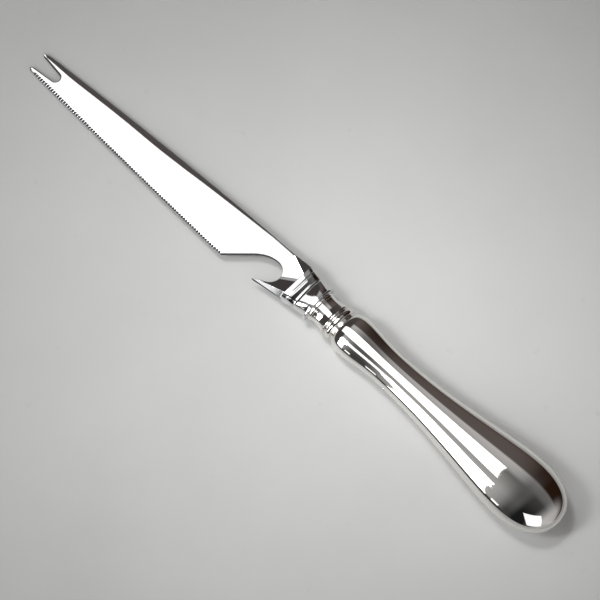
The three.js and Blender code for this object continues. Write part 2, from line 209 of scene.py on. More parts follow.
toothSize = {
    "pitch": 1.065,
    "samples": 14,
    "share": 0.72,  # of the pitch that a flute takes up
    "reach": 0.85,  # length of the flutes, from a little before half way to the heel
    "tipReach": 0.42,  # by which they are longer at the fork
    "evenFrom": 45.0,
    "leastReach": 0.42,  # length of the first flute at the fork
    "reachRise": 0.11,  # and its growth along the edge
    "cut": 0.2,  # depth of the roots, as a share of that length
    "proud": 0.2,  # of the teeth past the line of the edge
    "proudRise": 3.0,  # length over which they come to stand proud, at both ends
    "tipDrop": 0.16,
    "rootDrop": 0.72,
    "hollowPower": 1.25,  # how late a flute drops towards the edge
    "edgeLeast": 0.04,  # thickness that is left at the edge
    "edgeBelow": 0.02,
    "groundAndShadeBorder": 0.06,  # by which the ground mark, which also paints shade into the flutes, is wider than a flute
    "groundAndShadeRise": 4.0,
    "rows": 8,
}
forkSize = {
    "depth": 10.85,
    "slotRadius": 1.75,
    "flare": 7.3,
    "tineRadius": 0.65,
    "setback": 0.3,
    "slotDrop": 3.45,  # middle of the slot below the axis
    "noseStart": 0.22,  # of the blade as drawn here, where the upper tine's round end begins
    "noseLength": 0.8,
    "noseHeight": 0.72,
    "noseDrop": 0.15,
    "noseRadius": 0.09,
    "brokenEdge": 0.36,
}
teethFrom = 2 * (forkSize["tineRadius"] + forkSize["setback"])
openerSize = {
    "centre": (111.75, -2.87),
    "radius": 4.27,
    "heelAngle": 44.0,
    "heelStraight": 8.0,
    "hookAngle": 62.7,
    "hookLength": 5.07,
    "tipEdge": 1.4,  # thickness along the hook's outer line, at its tip and at its root
    "rootEdge": 0.5,
    "flankAngle": 43.0,  # the ground flank beside that line
    "flankSoftness": 0.01,
    "flareStart": 2.0,
    "flareAngle": 34.0,
    "flareSlope": 0.26,
    "flareSoftness": 0.8,
    "shoulderLength": 8.1,
    "shoulderAngle": 21.2,
    "shoulderSlope": 0.6,
    "shoulderSoftness": 0.12,
}
rimSize = {
    "turns": 5,  # points round an edge
    "plainWidth": 1.3,  # width of a plain rim, in radii of its edge
    "pointRise": 0.11,  # growth of that radius from a pointed end
    "margin": 0.04,  # of the two rows close to a bevel's borders
    "marginShare": 0.2,
    # ground marks the rim's rounds as ground and paints shade on them; wear marks its rubbed edges and
    # paints a highlight on them
    "ground": [0, 0, 0.5, 1, 1, 1, 1, 1],
    "wear": [0, 0, 0.1, 0.3, 0.7, 1, 0.7, 0.2],
}
bladeGrid = {
    "spine": 240,
    "spineCrowd": 1.2,  # how much closer its points lie at the tip
    "neck": 110,
    "heel": 90,
    "fork": 220,
    "search": 300,  # steps in which the border of the hook's flank is looked for
    "inner": 46,
    "outer": 16,
    "creaseMargin": 0.03,
}


def spineLine(x):
    # height of the spine: falls away from the bolster as a power of the distance left, towards a lift
    # that fades out at the tip as an exponential
    left = np.maximum(0, 1 - x / bladeSize["neckEnd"])
    lift = bladeSize["spineLift"] * (1 - np.exp(-x / bladeSize["liftLength"]))
    return lift + (bladeSize["spineHeight"] - lift) * (1 - left ** bladeSize["spineBow"])


def edgeLine(x):
    # line of the edge, past which the teeth stand a little: drops to the heel as a power of the distance
    fall = bladeSize["heelDrop"] - bladeSize["tipDrop"]
    along = np.maximum(0, x / bladeSize["edgeLength"])
    return -(bladeSize["tipDrop"] + fall * along ** bladeSize["edgeBow"])


def openerPath(count):
    # from the notch's top clockwise round its arc, then straight out to the hook's tip
    arc = arcPoints(openerSize["centre"], openerSize["radius"], 90.0, -openerSize["hookAngle"], 200)
    last = math.radians(openerSize["hookAngle"])
    tip = arc[-1] + openerSize["hookLength"] * np.array([-math.sin(last), -math.cos(last)])
    return spread(np.vstack([arc, tip]), count)


def neckSides(x, y):
    # two half thicknesses: the blade's own with a soft rise to the hook and a crisp one at the shoulder,
    # and that of the hook's ground flank, which grows evenly inwards from the hook's tapering outer edge
    size = openerSize
    towards = math.radians(size["flareAngle"] - 90.0)
    hook = (x - size["centre"][0]) * math.cos(towards) + (y - size["centre"][1]) * math.sin(towards)
    along = math.radians(90.0 - size["shoulderAngle"])
    startX = bladeSize["neckEnd"] - size["shoulderLength"]
    shoulder = (x - startX) * math.cos(along) + (y - bladeSize["spineHeight"]) * math.sin(along)
    rise = size["flareSlope"] * softRamp(hook - size["flareStart"], size["flareSoftness"])
    step = size["shoulderSlope"] * softRamp(shoulder, size["shoulderSoftness"])
    tip = openerPath(2)[-1]
    line = np.array([bladeSize["neckEnd"], -bladeSize["neckHalfWidth"]]) - tip
    inside = ((y - tip[1]) * line[0] - (x - tip[0]) * line[1]) / np.linalg.norm(line)
    toRoot = np.clip(((x - tip[0]) * line[0] + (y - tip[1]) * line[1]) / (line @ line), 0.0, 1.0)
    edge = size["tipEdge"] + (size["rootEdge"] - size["tipEdge"]) * toRoot
    flank = edge / 2 + math.tan(math.radians(size["flankAngle"])) * inside
    return bladeSize["thickness"] / 2 + rise + step, flank


def neckHeight(x, y):
    # the lesser of the two, with their meeting rounded as the root of the sum of squares
    whole, flank = neckSides(x, y)
    return (whole + flank - np.sqrt((whole - flank) ** 2 + openerSize["flankSoftness"] ** 2)) / 2


def heelPath(count):
    # from the notch's top through a parabola to the straight heel, and down it to the edge
    centre = openerSize["centre"]
    top = centre[1] + openerSize["radius"]
    slope = math.tan(math.radians(openerSize["heelAngle"]))
    heel = np.array([bladeSize["edgeLength"], -bladeSize["heelDrop"]])
    corner = np.array([heel[0] + (top - heel[1]) / slope, top])
    straight = heel + np.array([openerSize["heelStraight"], openerSize["heelStraight"] * slope])
    t = np.linspace(0.0, 1.0, 120)[:, None]
    curve = (1 - t) ** 2 * np.array([centre[0], top]) + 2 * t * (1 - t) * corner + t * t * straight
    return spread(np.vstack([curve, heel]), count)


def forkPath(count):
    # round the lower tine's end, along the slot's lower wall, round its floor, out to the upper tine and
    # along a quarter of an ellipse round its end
    tineX = forkSize["tineRadius"] + forkSize["setback"]
    tine = (tineX, edgeLine(tineX) + forkSize["tineRadius"])
    slot = (forkSize["depth"] - forkSize["slotRadius"], -forkSize["slotDrop"])
    wall = 90.0 - forkSize["flare"]
    end = arcPoints(tine, forkSize["tineRadius"], -90.0, -180.0 - wall, 60)
    bottom = arcPoints(slot, forkSize["slotRadius"], -wall, wall, 120)
    nose = np.radians(np.linspace(-90.0, -180.0, 30))
    noseX = forkSize["noseStart"] + forkSize["noseLength"] * (1 + np.cos(nose))
    noseY = spineLine(forkSize["noseStart"]) + forkSize["noseHeight"] * np.sin(nose) - forkSize["noseDrop"]
    return spread(np.vstack([end, bottom, np.stack([noseX, noseY], -1)]), count)


def inwardOf(path):
    # unit vectors to the right of a path, which is inwards where it runs clockwise
    along = np.gradient(path, axis=0)
    along /= np.linalg.norm(along, axis=1)[:, None]
    return np.stack([along[:, 1], -along[:, 0]], -1)


def bothSides(values):
    # a row across the upper side, then the same row back across the lower side
    values = np.asarray(values)
    return np.concatenate([values, values[..., ::-1]], -1)


def plainRim(path, top, width, slope, radius):
    # across the rim: a bevel of that width and slope, a round from its slope to the wall, the same below;
    # two rows close to the bevel's borders keep its shading even
    inward = inwardOf(path)
    slope = np.broadcast_to(slope, width.shape)
    start = np.arctan(slope)
    turn = start[:, None] + (np.pi / 2 - start)[:, None] * np.linspace(0.0, 1.0, rimSize["turns"])
    roundInset = radius[:, None] * (1 - np.sin(turn))
    spare = width - roundInset[:, 0]
    margin = np.minimum(rimSize["margin"], rimSize["marginShare"] * spare)
    bevelInset = np.stack([width, width - margin, roundInset[:, 0] + margin], 1)
    bevelTop = top[:, None] - (width[:, None] - bevelInset) * slope[:, None]
    centre = top - spare * slope - radius * np.cos(start)
    inset = bothSides(np.concatenate([bevelInset, roundInset], 1))
    height = np.concatenate([bevelTop, centre[:, None] + radius[:, None] * np.cos(turn)], 1)
    height = np.concatenate([height, -height[:, ::-1]], 1)
    flat = path[:, None, :] + inward[:, None, :] * inset[..., None]
    return np.concatenate([flat, height[..., None]], -1)


def toothRim(x):
    # across the edge: flutes with parabolas for roots and narrow lands between, fading out into the flat
    tooth = toothSize
    share = ((bladeSize["edgeLength"] - x) / tooth["pitch"]) % 1.0
    fromMiddle = 2 * share - 1
    hollow = np.maximum(0, 1 - (fromMiddle / tooth["share"]) ** 2)
    reach = tooth["reach"] + tooth["tipReach"] * np.maximum(0, 1 - x / tooth["evenFrom"])
    reach = np.minimum(reach, tooth["leastReach"] + tooth["reachRise"] * x)
    depth = tooth["cut"] * reach * hollow
    toEdge = np.linspace(1.0, 0.0, tooth["rows"])
    fall = (1 - toEdge) ** tooth["hollowPower"]
    half = bladeSize["thickness"] / 2
    drop = tooth["tipDrop"] + (tooth["rootDrop"] - tooth["tipDrop"]) * hollow
    upper = half - drop[:, None] * fall
    lowEdge = np.minimum(upper[:, -1] - tooth["edgeLeast"], -tooth["edgeBelow"])
    lower = -half + (half + lowEdge)[:, None] * fall[::-1]
    inset = bothSides(depth[:, None] + toEdge * (reach - depth)[:, None])
    toEnd = np.minimum(x - teethFrom, bladeSize["edgeLength"] - x)
    proud = tooth["proud"] * np.clip(toEnd / tooth["proudRise"], 0, 1)
    y = (edgeLine(x) - proud)[:, None] + inset
    height = np.concatenate([upper, lower], 1)
    # the flutes and their borders are marked as ground, which paints shade into them
    fluted = np.abs(fromMiddle) < tooth["share"] + tooth["groundAndShadeBorder"]
    ground = bothSides(fluted[:, None] * np.clip(tooth["groundAndShadeRise"] * (1 - toEdge), 0, 1))
    return np.stack([np.broadcast_to(x[:, None], y.shape), y, height], -1), ground


def makeBlade():
    # the rim runs once round the outline; flat outlines and a curved neck sheet close it on both sides
    size = bladeSize
    grid = bladeGrid
    half = size["thickness"] / 2
    broken = size["brokenEdge"]
    plain = rimSize["plainWidth"]
    pointRise = rimSize["pointRise"]
    cutX = openerSize["centre"][0]
    neckCount = grid["neck"]
    endX = size["neckEnd"] + size["neckTuck"]

    # spine, from the upper tine to above the notch, with its ground bevel
    startX = forkSize["noseStart"]
    x = startX + (cutX - startX) * np.linspace(0.0, 1.0, grid["spine"]) ** grid["spineCrowd"]
    spine = np.stack([x, spineLine(x)], -1)
    rise = np.sin(np.pi / 2 * np.minimum(x / size["bevelRise"], 1.0))
    rise = size["bevelStart"] + (1 - size["bevelStart"]) * rise
    fade = np.maximum(((cutX - x) / size["bevelFade"]) ** size["fadeBow"], size["bevelLeast"])
    width = size["bevelWidth"] * np.minimum(np.minimum(rise, fade), 1.0)
    width = width + size["bevelSwell"] * np.exp(-((x - size["swellAt"]) / size["swellSpread"]) ** 2)
    width = np.minimum(width, size["bevelNose"] + size["bevelOpen"] * (x - startX))
    slope = math.tan(math.radians(size["bevelAngle"]))
    radius = np.minimum(broken, width / plain)
    spineRim = plainRim(spine, np.full(len(x), half), width, slope, radius)

    # outside of the neck: spine to the bolster, across inside the bolster, and back along the hook
    tip = openerPath(2)[-1]
    root = np.array([size["neckEnd"], -size["neckHalfWidth"]])
    corner = tip + (root - tip) * (endX - tip[0]) / (root[0] - tip[0])
    neckX = np.linspace(cutX, endX, neckCount)
    top = np.stack([neckX, spineLine(neckX)], -1)
    endY = np.linspace(spineLine(endX), corner[1], neckCount + 1)[1:-1]
    across = np.stack([np.full_like(endY, endX), endY], -1)
    back = corner + (tip - corner) * np.linspace(0.0, 1.0, neckCount)[:, None]
    outside = np.vstack([top, across, back])
    lead = 1 - smoothStep(neckX, cutX + size["leadFrom"], cutX + size["leadTo"])
    lead = np.concatenate([lead, np.zeros(len(outside) - neckCount)])
    outRadius = np.minimum(broken, pointRise * np.linalg.norm(outside - tip, axis=1))
    outWidth = plain * outRadius + (width[-1] - plain * broken) * lead
    outFlat = outside + inwardOf(outside) * outWidth[:, None]
    outTop = neckHeight(outFlat[:, 0], outFlat[:, 1])
    outRim = plainRim(outside, outTop, outWidth, slope * lead, outRadius)

    # the notch, from the hook's tip back to its top
    notch = openerPath(len(outside))[::-1]
    inRadius = np.minimum(broken, pointRise * np.linalg.norm(notch - tip, axis=1))
    inFlat = notch + inwardOf(notch) * plain * inRadius[:, None]
    inTop = neckHeight(inFlat[:, 0], inFlat[:, 1])
    inRim = plainRim(notch, inTop, plain * inRadius, 0.0, inRadius)

    # heel, edge and fork
    heel = heelPath(grid["heel"])[1:-1]
    heelRadius = np.full(len(heel), broken)
    heelRim = plainRim(heel, np.full(len(heel), half), plain * heelRadius, 0.0, heelRadius)
    teeth = int((size["edgeLength"] - teethFrom) / toothSize["pitch"])
    samples = np.arange(teeth * toothSize["samples"] + 1)
    edgeRim, ground = toothRim(size["edgeLength"] - toothSize["pitch"] * samples / toothSize["samples"])
    fork = np.vstack([forkPath(grid["fork"]), spine[:1]])
    fromNose = np.linalg.norm(fork - spine[0], axis=1)
    forkRadius = np.minimum(forkSize["brokenEdge"], forkSize["noseRadius"] + pointRise * fromNose)
    forkRim = plainRim(fork, np.full(len(fork), half), plain * forkRadius, 0.0, forkRadius)[:-1]

    beforeEdge = [spineRim, outRim[1:], inRim[1:], heelRim]
    rim = np.concatenate([*beforeEdge, edgeRim, forkRim])
    # the ground mark paints shade on the rim's rounds, the flutes and the end of the spine's bevel
    groundAndShadeMark = np.tile(bothSides(rimSize["ground"]), (len(rim), 1))
    edgeFrom = sum(len(part) for part in beforeEdge)
    groundAndShadeMark[edgeFrom:edgeFrom + len(edgeRim)] = ground
    leadGroundAndShade = np.clip(size["leadGroundAndShade"] * lead[1:neckCount, None], 0, 1)
    leadRows = slice(len(spineRim), len(spineRim) + neckCount - 1)
    groundAndShadeMark[leadRows, 1:-1] = np.maximum(groundAndShadeMark[leadRows, 1:-1], leadGroundAndShade)

    # the neck's upper side: lines from the notch out to the neck's outside, each with a point at the flank
    fine = np.linspace(0.0, 1.0, grid["search"])[:, None]
    ruled = inFlat[::-1][:, None, :] * (1 - fine) + outFlat[:, None, :] * fine
    whole, flank = neckSides(ruled[..., 0], ruled[..., 1])
    below = flank < whole
    crease = np.where(below.any(1), fine[below.argmax(1), 0], 1.0)
    crease = np.clip(crease, grid["creaseMargin"], 1 - grid["creaseMargin"])[:, None]
    toCrease = crease * np.linspace(0, 1, grid["inner"])
    pastCrease = crease + (1 - crease) * np.linspace(0, 1, grid["outer"])[1:]
    step = np.concatenate([toCrease, pastCrease], 1)[..., None]
    neckFlat = inFlat[::-1][:, None, :] * (1 - step) + outFlat[:, None, :] * step
    neckTop = np.concatenate([neckFlat, neckHeight(neckFlat[..., 0], neckFlat[..., 1])[..., None]], -1)
    down = np.array([1.0, 1.0, -1.0])

    # the flats, from the cut above the notch round the fork
    cut = neckTop[0]
    lowerSide = np.concatenate([inRim[-1:], heelRim, edgeRim, forkRim])[:, 0]
    nearTip = np.concatenate([spineRim[:, 0], cut[::-1][1:-1], lowerSide])
    sheets = [
        {"points": rim, "closeRows": True, "wear": bothSides(rimSize["wear"]), "ground": groundAndShadeMark},
        {"points": neckTop},
        {"points": (neckTop * down)[:, ::-1]},
    ]
    return makePiece("blade_polished", sheets, [nearTip[::-1], nearTip * down])


blade = makeBlade()

bolsterSize = {
    "front": 121.3,
    "rear": 131.1,
    "reach": 0.25,  # past its rear, up to the collar plate
    "frontHalfWidth": 7.4,
    "rearHalfWidth": 6.1,
    "frontHalfHeight": 3.35,
    "rearHalfHeight": 4.15,
    "frontPower": 0.34,
    "rearPower": 0.8,
    "band": 1.6,
    "groove": 0.3,
    "grooveDepth": 0.25,
    "ridge": 0.7,
    "ridgeHeight": 0.12,
    "cove": 3.2,
    "coveDepth": 0.36,
    "coveLean": 1.6,
    "riseEarly": 0.8,  # by which the rise begins before the cove's end
    "risePower": 1.2,
    "brokenEdge": 0.16,
    # width of the worn band on the ridge's crest, which also carries a painted highlight
    "wearAndHighlightBand": 0.1,
    "rings": 260,
    "perSide": 16,
}


def bolsterHeight(x):
    # half height: a flat band, a V groove, a half-round ridge, a hollow cove and a swelling rise
    size = bolsterSize
    grooveX = size["front"] + size["band"]
    ridgeX = grooveX + size["groove"]
    coveX = ridgeX + size["ridge"]
    riseX = coveX + size["cove"]
    band = size["frontHalfHeight"]
    groove = np.clip(1 - np.abs(x - grooveX - size["groove"] / 2) / (size["groove"] / 2), 0, 1)
    ridge = np.sqrt(np.clip(1 - ((x - ridgeX) / size["ridge"] * 2 - 1) ** 2, 0, 1))
    hollow = np.sin(np.pi * np.clip((x - coveX) / size["cove"], 0, 1) ** size["coveLean"])
    early = size["riseEarly"]
    risen = np.clip((x - riseX + early) / (size["rear"] - riseX + early), 0, 1)
    swell = np.sin(np.pi / 2 * risen ** size["risePower"])
    rise = (size["rearHalfHeight"] - band) * swell
    proud = size["ridgeHeight"] * ridge - size["grooveDepth"] * groove - size["coveDepth"] * hollow
    return band + proud + rise


def oblong(halfWidth, halfHeight, power, perSide):
    # superellipse: y and z are powers of cosine and sine, sampled evenly along its sides and faces
    power = power[:, None]
    meet = np.sqrt(0.5) ** power
    side = np.arcsin(np.clip(meet * np.linspace(0, 1, perSide), 0, 1) ** (1 / power))
    face = np.arccos(np.clip(meet * np.linspace(1, 0, 2 * perSide), 0, 1) ** (1 / power))
    quarter = np.concatenate([side, face[:, 1:]], 1)
    turn = np.concatenate([quarter, np.pi - quarter[:, ::-1][:, 1:]], 1)
    turn = np.concatenate([turn, turn[:, 1:-1] + np.pi], 1)
    y = halfWidth[:, None] * np.sign(np.cos(turn)) * np.abs(np.cos(turn)) ** power
    z = halfHeight[:, None] * np.sign(np.sin(turn)) * np.abs(np.sin(turn)) ** power
    return y, z


def makeBolster():
    # oblong rings along x, drawn in at both ends to closed poles
    size = bolsterSize
    x = np.linspace(size["front"], size["rear"], size["rings"])
    x = np.append(x, size["rear"] + size["reach"])
    share = np.clip((x - size["front"]) / (size["rear"] - size["front"]), 0, 1)
    width = size["frontHalfWidth"] + (size["rearHalfWidth"] - size["frontHalfWidth"]) * share
    power = size["frontPower"] + (size["rearPower"] - size["frontPower"]) * share
    y, z = oblong(width, bolsterHeight(x), power, size["perSide"])
    body = np.stack([np.broadcast_to(x[:, None], y.shape), y, z], -1)
    turn = np.radians(np.linspace(0, 90, 5))[1:]
    broken = size["brokenEdge"]
    body[:, :, 0] = np.maximum(body[:, :, 0], size["front"] + broken)
    half = np.array([size["frontHalfWidth"], size["frontHalfHeight"]])
    frontRings = []
    for angle in turn:
        ring = body[0].copy()
        ring[:, 0] = size["front"] + broken * (1 - math.sin(angle))
        ring[:, 1:] *= 1 - broken * (1 - math.cos(angle)) / half
        frontRings.append(ring)
    frontPole = np.tile([size["front"], 0.0, 0.0], (len(body[0]), 1))
    rearPole = np.tile([x[-1], 0.0, 0.0], (len(body[0]), 1))
    rings = np.stack([frontPole, *frontRings[::-1], *body, rearPole])
    height = bolsterHeight(np.concatenate([np.full(len(turn) + 1, size["front"]), x, x[-1:]]))
    crease = np.clip((size["frontHalfHeight"] - height) / size["coveDepth"], 0, 1)
    # the ridge's crest is marked as worn, which also paints a highlight on it
    offRidge = np.abs(height - size["frontHalfHeight"] - size["ridgeHeight"])
    wear = np.clip(1 - offRidge / size["wearAndHighlightBand"], 0, 1)
    return makePiece("bolster_polished", [
        {"points": rings[:, ::-1], "closeColumns": True, "grime": crease[:, None], "wear": wear[:, None]},
    ])


bolster = makeBolster()

plateSize = {
    "front": 131.3,
    "rear": 132.1,
    "halfWidth": 7.2,
    "halfHeight": 4.3,
    "round": 0.2,
    "around": 144,
}


def makePlate():
    # a thin section with rounded corners carried round an oval and closed to a pole on each side
    size = plateSize
    turn = np.radians(np.linspace(0, 90, 6))
    corner = size["round"] * (1 - np.cos(turn))
    inset = size["round"] * (1 - np.sin(turn))
    inset = np.concatenate([inset, inset[::-1]])
    front = size["front"] + corner
    rear = size["rear"] - corner[::-1]
    x = np.concatenate([[size["front"]], front, rear, [size["rear"]]])
    halfWidth = np.concatenate([[0.0], size["halfWidth"] - inset, [0.0]])
    halfHeight = np.concatenate([[0.0], size["halfHeight"] - inset, [0.0]])
    around = np.linspace(0, 2 * np.pi, size["around"], endpoint=False)
    y = np.cos(around) * halfWidth[:, None]
    z = np.sin(around) * halfHeight[:, None]
    rings = np.stack([np.broadcast_to(x[:, None], y.shape), y, z], -1)
    # the plate's rounded corners are marked as worn, which also paints a highlight on them
    wear = np.concatenate([[0], np.sin(2 * turn), np.sin(2 * turn[::-1]), [0]])
    return makePiece("collar_plate_polished", [
        {"points": rings[:, ::-1], "closeColumns": True, "wear": wear[:, None]},
    ])


plate = makePlate()

handleOval = {"neck": 0.65, "swell": 0.58, "from": 148.7, "to": 223.5}
ferruleSize = {
    "front": 132.0,
    "lip": 1.5,
    "lipRadius": 5.9,
    "hollow": 5.7,
    "hollowRadius": 5.3,
    "flareEdge": 0.4,
    "flareRadius": 6.45,
    "groove": 0.65,
    "grooveRadius": 5.6,
    "bead": 2.2,
    "beadRadius": 6.45,
    "tuck": 0.6,  # past its end, into the handle's mouth
    "lipRound": 0.3,
    "flareRound": 0.12,
    "grooveEase": (0.05, 0.3),  # the groove's two drawing points, behind its start
    "grooveDip": (0.05, 0.02),  # and below its floor
    "step": 0.02,
    "grimeFrom": 139.4,
    "grimeTop": 5.95,
    "grimeSpan": 0.35,
    "around": 192,
}


def ovalRings(profile, around):
    # a profile of x and radius turned about the axis, with its height pressed to the handle's oval
    x = profile[:, 0][:, None] * np.ones_like(around)
    ease = smoothStep(x, handleOval["from"], handleOval["to"])
    press = handleOval["neck"] + (handleOval["swell"] - handleOval["neck"]) * ease
    radius = profile[:, 1][:, None]
    return np.stack([x, radius * np.cos(around), radius * np.sin(around) * press], -1)


def ferruleProfile():
    # lip, hollow neck, flared edge, groove, bead and groove, as arcs and one drawn curve
    size = ferruleSize
    hollowX = size["front"] + size["lip"]
    flareX = hollowX + size["hollow"]
    grooveX = flareX + size["flareEdge"]
    beadX = grooveX + size["groove"]
    endX = beadX + size["bead"] + size["groove"]
    arc = np.linspace(np.pi, 0, 24)
    lipFoot = size["lipRadius"] - size["lipRound"]
    lipX = size["front"] + size["lip"] / 2 * (1 + np.cos(arc))
    lip = np.stack([lipX, lipFoot + size["lipRound"] * np.sin(arc)], -1)
    hollow = bezier(
        (hollowX, lipFoot),
        (hollowX + size["hollow"] / 4, size["hollowRadius"]),
        (flareX - size["hollow"] / 3, size["hollowRadius"]),
        (flareX, size["flareRadius"]),
        50,
    )
    brow = np.linspace(0, np.pi / 2, 8)
    browRound = size["flareRound"]
    browX = flareX + browRound + (size["flareEdge"] - browRound) * np.sin(brow)
    edge = np.stack([browX, size["flareRadius"] - browRound * (1 - np.cos(brow))], -1)
    groove = bezier(
        (grooveX, size["flareRadius"] - browRound),
        (grooveX + size["grooveEase"][0], size["grooveRadius"] - size["grooveDip"][0]),
        (grooveX + size["grooveEase"][1], size["grooveRadius"] - size["grooveDip"][1]),
        (beadX, size["grooveRadius"]),
        16,
    )
    bead = np.stack([
        beadX + size["bead"] / 2 * (1 + np.cos(arc)),
        size["grooveRadius"] + (size["beadRadius"] - size["grooveRadius"]) * np.sin(arc),
    ], -1)
    tail = np.array([
        [endX, size["grooveRadius"]],
        [endX + size["tuck"], size["grooveRadius"] - size["step"]],
        [endX + size["tuck"], 0],
    ])
    start = np.array([[size["front"], 0.0], [size["front"], lipFoot - size["step"]]])
    return np.vstack([start, lip, hollow[1:], edge, groove[1:], bead[1:], tail])


def makeFerrule():
    # the profile turned once round, closed on the axis at both ends
    size = ferruleSize
    profile = ferruleProfile()
    rings = ovalRings(profile, np.linspace(0, 2 * np.pi, size["around"], endpoint=False))
    grime = np.clip((size["grimeTop"] - profile[:, 1]) / size["grimeSpan"], 0, 1)
    grime = grime * (profile[:, 0] > size["grimeFrom"])
    return makePiece("neck_ferrule_silver", [
        {"points": rings[:, ::-1], "closeColumns": True, "grime": grime[:, None]},
    ])


ferrule = makeFerrule()

shellSize = {
    "mouth": (143.4, 5.6),
    "shoulder": (148.7, 7.75),
    "waist": (165.2, 6.45),
    "swell": (223.5, 12.2),
    "butt": 241.35,
    "wall": 0.7,
    "seam": 0.016,  # half of the hairline between the halves
    "seamRound": 0.05,
    "trim": 0.075,  # drawn in, so that the smooth skin keeps inside the solid's box
    "mouthPull": ((143.983, 7.105), 145.785),  # where each curve is drawn to between its ends
    "waistPull": (153.65, 157.28),
    "swellPull": (190.269, 210.0915),
    "buttPull": (233.793, 8.296),
    "nearSeam": (0.0, 0.002, 0.006, 0.014),  # angles of the close points beside the seam
    "evenFrom": 0.03,
    "around": 130,
    "rollSpan": 0.006,
    "seamGrime": 0.6,
    "seamGrimeSpan": 0.02,
    "mouthGrimeSpan": 0.8,
}


def shellProfile():
    # shoulder, waist, swell and butt joined by four drawn curves
    size = shellSize
    mouth, shoulder, waist, swell = (size[at] for at in ("mouth", "shoulder", "waist", "swell"))
    butt = size["butt"]
    toShoulder, toWaist = size["mouthPull"], size["waistPull"]
    toSwell, toButt = size["swellPull"], size["buttPull"]
    parts = [
        bezier(mouth, toShoulder[0], (toShoulder[1], shoulder[1]), shoulder, 36),
        bezier(shoulder, (toWaist[0], shoulder[1]), (toWaist[1], waist[1]), waist, 50)[1:],
        bezier(waist, (toSwell[0], waist[1]), (toSwell[1], swell[1]), swell, 90)[1:],
        bezier(swell, (toButt[0], swell[1]), (butt, toButt[1]), (butt, 0.0), 96)[1:],
    ]
    profile = np.vstack(parts)
    profile[:, 1] = np.maximum(0, profile[:, 1] - size["trim"])
    return profile


def makeShell(name, side):
    # half rings of the profile, and the same moved in by the wall; they join along the seam and the mouth
    size = shellSize
    outer = shellProfile()
    inner = outer + size["wall"] * inwardOf(outer)
    inner[:, 1] = np.maximum(inner[:, 1], 0)
    inner[-1] = [outer[-1, 0] - size["wall"], 0]
    close = np.array(size["nearSeam"])
    even = np.linspace(size["evenFrom"], np.pi - size["evenFrom"], size["around"])
    half = np.concatenate([close, even, np.pi - close[::-1]])
    around = half if side > 0 else -half[::-1]
    skin = ovalRings(outer, around)
    lining = ovalRings(inner, around)
    # the skin turns in at the seam like a rolled edge
    near = np.minimum(half, np.pi - half)
    near = near if side > 0 else near[::-1]
    roll = size["seamRound"] * np.exp(-near / size["rollSpan"])
    skin[..., 1] -= np.sign(np.cos(around)) * np.minimum(roll, np.abs(skin[..., 1]))
    # and stands off the other half by the root of the height squared plus the seam squared
    for wall, profile in ((skin, outer), (lining, inner)):
        wall[..., 2] = side * np.hypot(wall[..., 2], size["seam"] * (profile[:, 1] > 0)[:, None])
    loops = np.concatenate([skin, lining[:, ::-1]], 1)
    mouthLip = np.stack([lining[0], skin[0]])
    seamGrime = size["seamGrime"] * np.exp(-near / size["seamGrimeSpan"])
    grime = np.concatenate([seamGrime, np.zeros_like(near)])
    mouthGrime = np.clip(1 - (outer[:, 0] - size["mouth"][0]) / size["mouthGrimeSpan"], 0, 1)
    marks = np.maximum(grime[None, :], mouthGrime[:, None])
    return makePiece(name, [
        {"points": loops[:, ::-1], "closeColumns": True, "grime": marks[:, ::-1]},
        {"points": mouthLip[:, ::-1], "grime": 1.0},
    ])


shellUpper = makeShell("handle_upper_silver", 1)
shellLower = makeShell("handle_lower_silver", -1)

standIns = [
    (blade, "blade", "blade_steel"),
    (bolster, "bolster", "bolster_steel"),
    (plate, "collar_plate", "bolster_steel"),
    (ferrule, "neck_ferrule", "handle_silver"),
    (shellUpper, "handle_shell_upper", "handle_silver"),
    (shellLower, "handle_shell_lower", "handle_silver"),
]


class Wire:
    # a node's output in sums, differences, products and quotients; each operator adds one Math node
    def __init__(self, tree, socket):
        self.tree = tree
        self.socket = socket

    def math(self, operation, first, second=0.0):
        return self.tree.add("ShaderNodeMath", {"operation": operation}, {0: first, 1: second})

    def __add__(self, other):
        return self.math("ADD", self, other)

    def __radd__(self, other):
        return self.math("ADD", other, self)

    def __sub__(self, other):
        return self.math("SUBTRACT", self, other)

    def __rsub__(self, other):
        return self.math("SUBTRACT", other, self)

    def __mul__(self, other):
        return self.math("MULTIPLY", self, other)

    def __rmul__(self, other):
        return self.math("MULTIPLY", other, self)

    def __truediv__(self, other):
        return self.math("DIVIDE", self, other)

    def __rtruediv__(self, other):
        return self.math("DIVIDE", other, self)


